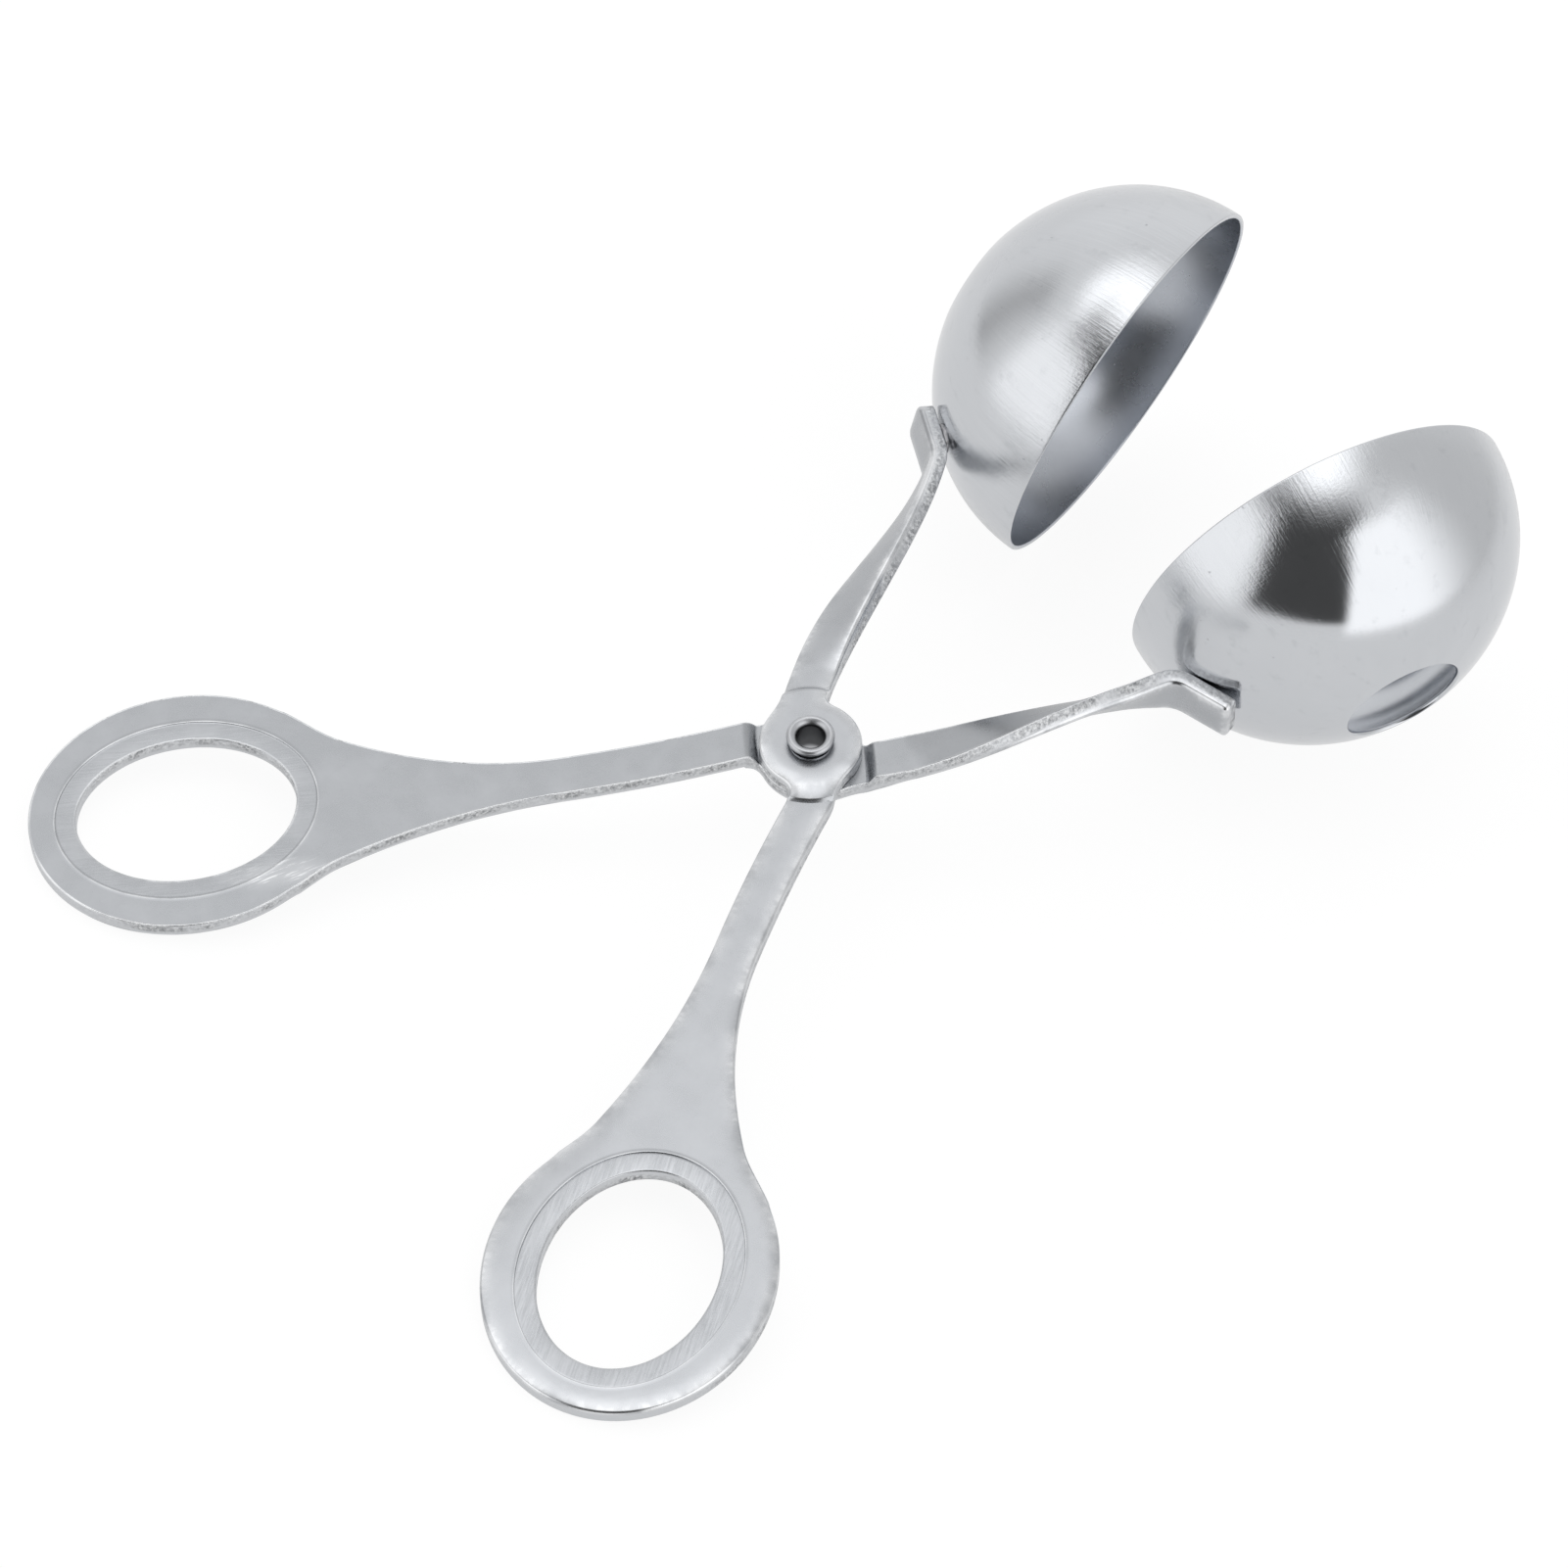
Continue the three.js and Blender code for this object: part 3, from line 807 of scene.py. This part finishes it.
def weld_mesh(name):
    """A flat bead about Z, its radius waved around and its side bulged like a squeezed drop, stretched along
    the tab."""
    bulge = np.linspace(-np.pi / 2, np.pi / 2, 15)
    side = np.column_stack([1 - 0.2 * (1 - np.cos(bulge)), weld_thick / 2 * np.sin(bulge)])
    profile = np.concatenate([[[tiny, -weld_thick / 2]], side, [[tiny, weld_thick / 2]]])
    points, quads = revolved(profile, 72, [0, 1, 2])
    angle = np.arctan2(points[:, 1], points[:, 0])
    wave = 1 + 0.06 * np.sin(3 * angle + 0.6) + 0.05 * np.sin(7 * angle)
    points[:, :2] *= (weld_radius * wave)[:, None] * [weld_stretch, 1]
    return new_mesh(name, points, quads)


def weld_place_of(points, side):
    """From the bead's own axes to its place beside the tab, near the tab's upper edge, with the lever
    open."""
    arm = arms[side]
    tab_up = np.cross(arm.tab_normal, -arm.tab_along)
    middle = arm.seat - arm.tab_normal * (stock + weld_thick) / 2 - arm.tab_along * weld_back[side]
    middle = middle + tab_up * (strip_half - weld_radius + weld_proud)
    axes = np.stack([arm.tab_along, np.cross(arm.tab_normal, arm.tab_along), arm.tab_normal])
    return turned(middle + points @ axes, lever_angle)


def weld_finish():
    """Dull weld metal with a coarse grain."""
    material, wire, shader = finish("weld_steel")
    grain = wire.node("ShaderNodeTexCoord", out=3).noise(2200.0, 4.0, 0.6)
    steel = mixed(grain, (0.36, 0.36, 0.375), (0.6, 0.6, 0.615))
    metal(wire, shader, steel, 0.28 + 0.3 * grain, grain, strength=0.7, depth=0.1)
    return material


weld_steel = weld_finish()
for side in ("upper", "lower"):
    weld = closed_piece(f"{side}_weld_bead", weld_mesh(f"{side}_weld_bead"))
    placed(weld.data, lambda points: on_side(weld_place_of(points, side), side))
    weld.data.materials.append(weld_steel)
    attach(weld, f"{side}_half")
    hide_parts(f"{side}_weld")

# Pivot rivet. A hollow rivet through both hubs, rolled over on each side into a rounded lip with a
# funnel into the bore, so that the levers turn on its shank.
rivet_radius = 4.2 / 2
rivet_bore = 3.1 / 2
rivet_lip = 0.42
lip_radius = 5.46 / 2 - rivet_lip
rivet_foot = hub_gap / 2 + stock + hub_gap
lip_level = rivet_foot + 0.6 + rivet_lip
funnel_depth = 0.75
funnel_slope = 0.47


def rivet_mesh(name):
    """The rivet's section carried around its axis: shank, and a round lip that rolls outward over the hub and
    back in, then a funnel down into the bore, mirrored."""
    roll = np.radians(np.linspace(-118, 115, 40))
    foot = [(rivet_radius, rivet_foot - 0.06), (rivet_radius, rivet_foot + 0.2)]
    lip = np.column_stack([lip_radius + rivet_lip * np.cos(roll), lip_level + rivet_lip * np.sin(roll)])
    inner, level = lip[-1]
    funnel = smooth_curve((inner, level), (rivet_bore, level - funnel_slope * (inner - rivet_bore)),
                          (rivet_bore, level - funnel_depth), steps=14)
    bore = np.column_stack([np.full(9, rivet_bore), np.linspace(level - funnel_depth - 0.1, 0.1, 9)])
    top = np.concatenate([foot, lip, funnel[1:], bore])
    profile = np.concatenate([top, top[::-1] * [1, -1]])
    points, quads = revolved(profile, 96, [0, 1, 2])
    mesh = new_mesh(name, points, quads)
    radius = np.hypot(points[:, 0], points[:, 1])
    # The bore's painted shade: full inside the shank and fading out towards its lower end.
    in_bore = 1 - eased(radius, rivet_bore + 0.02, rivet_bore + 0.3)
    keep_on(mesh, "bore", in_bore * eased(points[:, 2], -1.3, -0.3))
    return mesh


def rivet_finish():
    """Rolled steel with faint rubbed patches, duller in the bore, and painted shade there: the bore's wall is
    coloured dark.
    """
    material, wire, shader = finish("rivet_steel")
    bore = wire.kept_number("bore")
    rub_and_highlight = wire.node("ShaderNodeTexCoord", out=3).noise(700.0, 4.0, 0.6)
    lip = mixed(rub_and_highlight, (0.44, 0.45, 0.47), (0.62, 0.63, 0.65))
    # Painted shade: the bore is coloured nearly black where shade falls inside it.
    steel = mixed(bore, lip, (0.10, 0.103, 0.108))
    metal(wire, shader, steel, 0.26 + 0.16 * rub_and_highlight + 0.06 * bore, rub_and_highlight, strength=0.3, depth=0.02)
    return material


rivet = closed_piece("pivot_rivet_eyelet", rivet_mesh("pivot_rivet_eyelet"))
placed(rivet.data, lambda points: points)
rivet.data.materials.append(rivet_finish())
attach(rivet, "lower_half")
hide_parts("pivot_rivet")

# Camera. A long lens on the rings' side, about 55 degrees above the tongs' plane. Its angles are in that
# plane, and the pivot's place in the picture sets where it points.
view_azimuth = np.radians(-129.99)
view_elevation = np.radians(55.12)
view_roll = np.radians(0.46)
view_distance = 678.1
picture_size = 1601
focal_pixels = 6172.5
pivot_pixel = np.array([827.6, 768.1])
sensor_width = 36.0

towards_camera = np.array([
    np.cos(view_elevation) * np.cos(view_azimuth),
    np.cos(view_elevation) * np.sin(view_azimuth),
    np.sin(view_elevation),
])
level_right = np.cross(-towards_camera, upright)
level_right /= np.linalg.norm(level_right)
level_down = np.cross(-towards_camera, level_right)
picture_right = np.cos(view_roll) * level_right + np.sin(view_roll) * level_down
picture_down = np.cos(view_roll) * level_down - np.sin(view_roll) * level_right
off_right, off_down = (pivot_pixel - picture_size / 2) / focal_pixels
camera_place = view_distance * (towards_camera - off_right * picture_right - off_down * picture_down)
lens = bpy.data.cameras.new("photo_camera")
lens.sensor_width = sensor_width
lens.lens = sensor_width * focal_pixels / picture_size
camera = bpy.data.objects.new("photo_camera", lens)
camera_axes = np.stack([picture_right, -picture_down, towards_camera]) @ plane_axes
camera.matrix_world = Matrix.Translation(in_part(camera_place)) @ Matrix(camera_axes.T.tolist()).to_4x4()
bpy.context.scene.collection.objects.link(camera)
bpy.context.scene.camera = camera

# Floor. A wide white sheet under the tongs. To the lens it is nearly white, and the rest of it is lit, so
# that the tongs keep a faint shadow. In reflections it ends softly a hand's breadth from the tongs.
floor_half = 1.5
floor_mesh = bpy.data.meshes.new("floor")
floor_mesh.from_pydata([(x, y, 0) for x, y in ((-1, -1), (1, -1), (1, 1), (-1, 1))], [], [(0, 1, 2, 3)])
floor_mesh.transform(Matrix.Scale(floor_half, 4))
floor = bpy.data.objects.new("floor", floor_mesh)
bpy.context.scene.collection.objects.link(floor)
floor_white, wire, shader = finish("floor_white")
shader.inputs["Base Color"].default_value = (0.86, 0.86, 0.86, 1)
shader.inputs["Roughness"].default_value = 0.9
shader.inputs["Specular IOR Level"].default_value = 0.0
lens_ray = wire.node("ShaderNodeLightPath", out=0)
mirror_ray = wire.node("ShaderNodeLightPath", out=3)
floor_reach = wire.node("ShaderNodeTexCoord", out=3).length()
lit = Wire(wire.tree, shader.outputs[0])
white = wire.node("ShaderNodeEmission", {"Color": (1, 1, 1, 1), "Strength": 1.06})
mirrored = wire.node("ShaderNodeEmission", {"Color": (1, 1, 1, 1), "Strength": 0.93})
beyond = wire.node("ShaderNodeBsdfTransparent")
shown = wire.node("ShaderNodeMixShader", {0: 0.85 * lens_ray, 1: lit, 2: white})
shown = wire.node("ShaderNodeMixShader", {0: 0.7 * mirror_ray, 1: shown, 2: mirrored})
floor_end = mirror_ray * floor_reach.between(0.12, 0.34)
shown = wire.node("ShaderNodeMixShader", {0: floor_end, 1: shown, 2: beyond})
wire.tree.links.new(shown.socket, wire.tree.nodes["Material Output"].inputs["Surface"])
floor_mesh.materials.append(floor_white)

# Light. A white tent, dimmer far out on both sides, with a tall soft light on each side of the lens, one
# overhead, and a dark slot that the lens looks through. Azimuths are degrees to the right of the lens,
# elevations degrees above the floor.
world = bpy.data.worlds.new("studio")
bpy.context.scene.world = world
world.use_nodes = True
wire = Wire(world.node_tree)
lens_side = towards_camera @ plane_axes
lens_azimuth = np.arctan2(lens_side[1], lens_side[0])
ray = wire.node("ShaderNodeTexCoord", out=0)
ray_ahead = ray.along((np.cos(lens_azimuth), np.sin(lens_azimuth), 0))
ray_right = ray.along((-np.sin(lens_azimuth), np.cos(lens_azimuth), 0))
azimuth = wire.math("ARCTAN2", ray_right, ray_ahead) * (180 / np.pi)
elevation = wire.math("ARCSINE", ray.part(2)) * (180 / np.pi)


def window(value, low, high, softness):
    """1 between low and high and 0 outside them, with both ends softened."""
    past_high = value.between(high - softness, high + softness)
    return value.between(low - softness, low + softness) * (1 - past_high)


def facing(azimuth_of, elevation_of):
    """How closely a ray points in a direction, as the cosine of the angle between them."""
    turn, rise = lens_azimuth + np.radians(azimuth_of), np.radians(elevation_of)
    return ray.along((np.cos(rise) * np.cos(turn), np.cos(rise) * np.sin(turn), np.sin(rise)))


behind = wire.math("ABSOLUTE", azimuth).between(130, 160) * window(elevation, 8, 40, 8)
tent = 0.88 + 0.06 * behind - 0.18 * window(azimuth, 85, 150, 22)
tent = tent - 0.34 * window(azimuth, -122, -100, 14) * (1 - elevation.between(30, 46))
left_light = window(azimuth, -84, -36, 9) * window(elevation, -15, 45, 5)
right_light = azimuth.between(20, 27) * (1 - azimuth.between(58, 104)) * window(elevation, -9, 53, 6)
overhead = facing(-100, 77).between(np.cos(np.radians(30)), np.cos(np.radians(8)))
gap = window(azimuth, -78, -20, 9) * window(elevation, 48, 60, 5)
slot_right = azimuth - 18 * elevation.between(46, 62)
slot = ray_right.between(-0.53, -0.43) * (1 - slot_right.between(20, 26))
slot = slot * azimuth.between(-100, -90) * elevation.between(-4, 0.5) * (1 - elevation.between(52, 80))
glow = tent + 0.36 * left_light + 0.55 * right_light + 0.84 * overhead
glow = glow * (1 - 0.62 * gap)
glow = glow * (1 - slot) + 0.075 * slot
lens_ray = wire.node("ShaderNodeLightPath", out=0)
strength = glow * (1 - lens_ray) + lens_ray
background = wire.tree.nodes["Background"]
background.inputs["Color"].default_value = (1, 1, 1, 1)
wire.tree.links.new(strength.socket, background.inputs["Strength"])

bpy.context.scene.view_settings.view_transform = "Standard"
